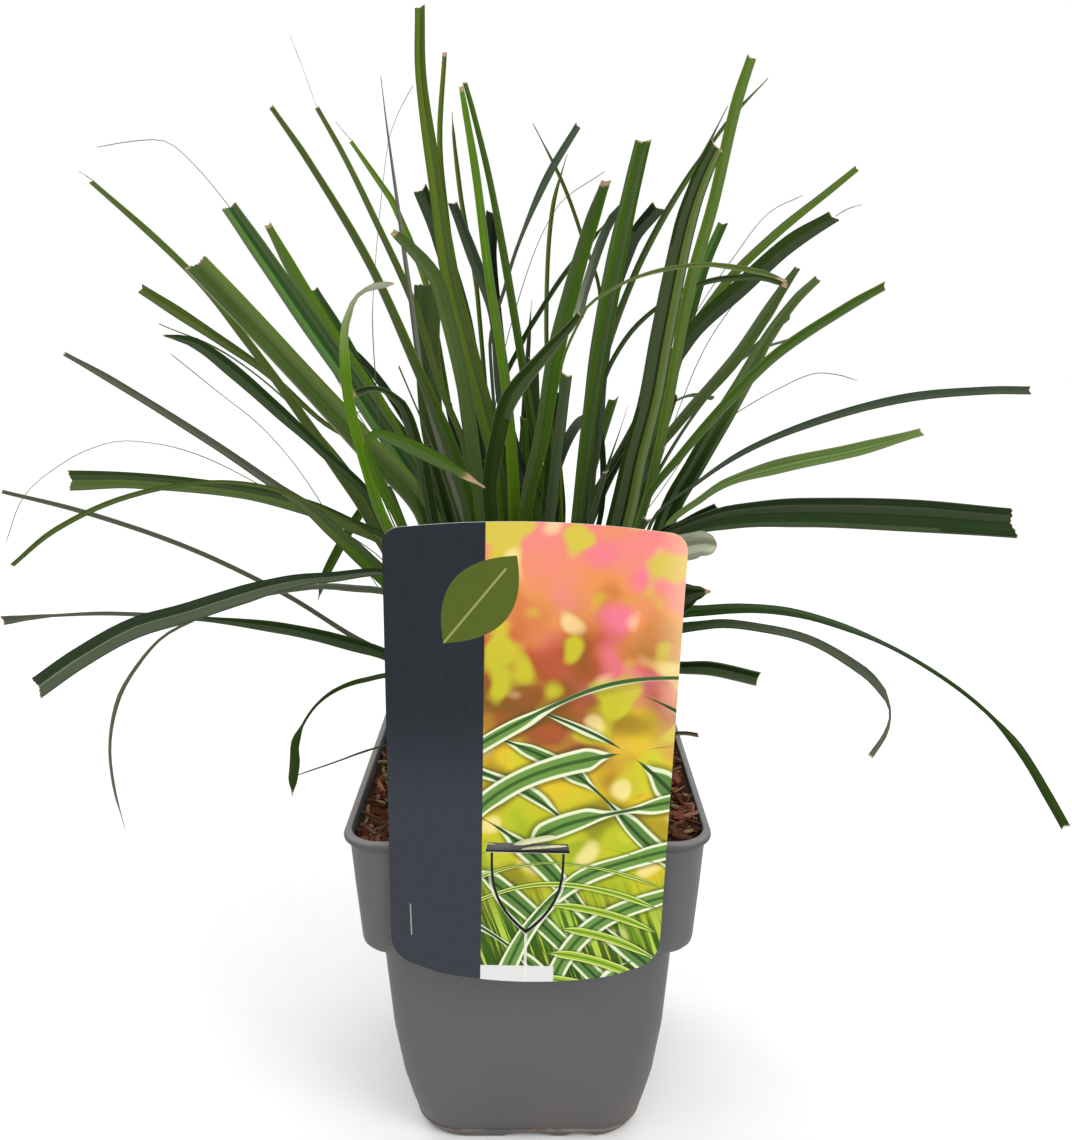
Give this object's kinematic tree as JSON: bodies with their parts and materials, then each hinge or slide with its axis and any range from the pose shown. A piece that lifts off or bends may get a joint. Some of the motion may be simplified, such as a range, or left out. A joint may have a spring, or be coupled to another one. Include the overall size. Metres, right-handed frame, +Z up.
{
  "type": "potted carex sedge",
  "caption": "Potted sedge: a loose tuft of narrow folded green leaves in bark mix, in a square grey stepped pot with a picture label hung on its rim.",
  "frame": {"origin": "middle of the pot's base, on the ground", "axes": "+Z up through the pot, +X to the viewer's right, and the label hangs on the -Y side"},
  "size_m": [0.5054, 0.2939, 0.488],
  "materials": {
    "grey_plastic": "moulded, slightly satin",
    "bark_mix": "rough, loose bark and coir",
    "label_sheet": "printed, satin gloss",
    "leaf_green": "waxy, finely ribbed leaf"
  },
  "bodies": {
    "root": {"pot": "grey_plastic", "potting_mix": "bark_mix", "label": "label_sheet", "shoot_01": "leaf_green", "shoot_02": "leaf_green", "shoot_03": "leaf_green", "shoot_04": "leaf_green", "shoot_05": "leaf_green", "shoot_06": "leaf_green", "shoot_07": "leaf_green", "shoot_08": "leaf_green", "shoot_09": "leaf_green", "shoot_10": "leaf_green", "shoot_11": "leaf_green", "shoot_12": "leaf_green", "shoot_13": "leaf_green", "shoot_14": "leaf_green", "shoot_15": "leaf_green", "shoot_16": "leaf_green", "shoot_17": "leaf_green", "shoot_18": "leaf_green", "shoot_19": "leaf_green", "shoot_20": "leaf_green", "shoot_21": "leaf_green"}
  },
  "joints": []
}
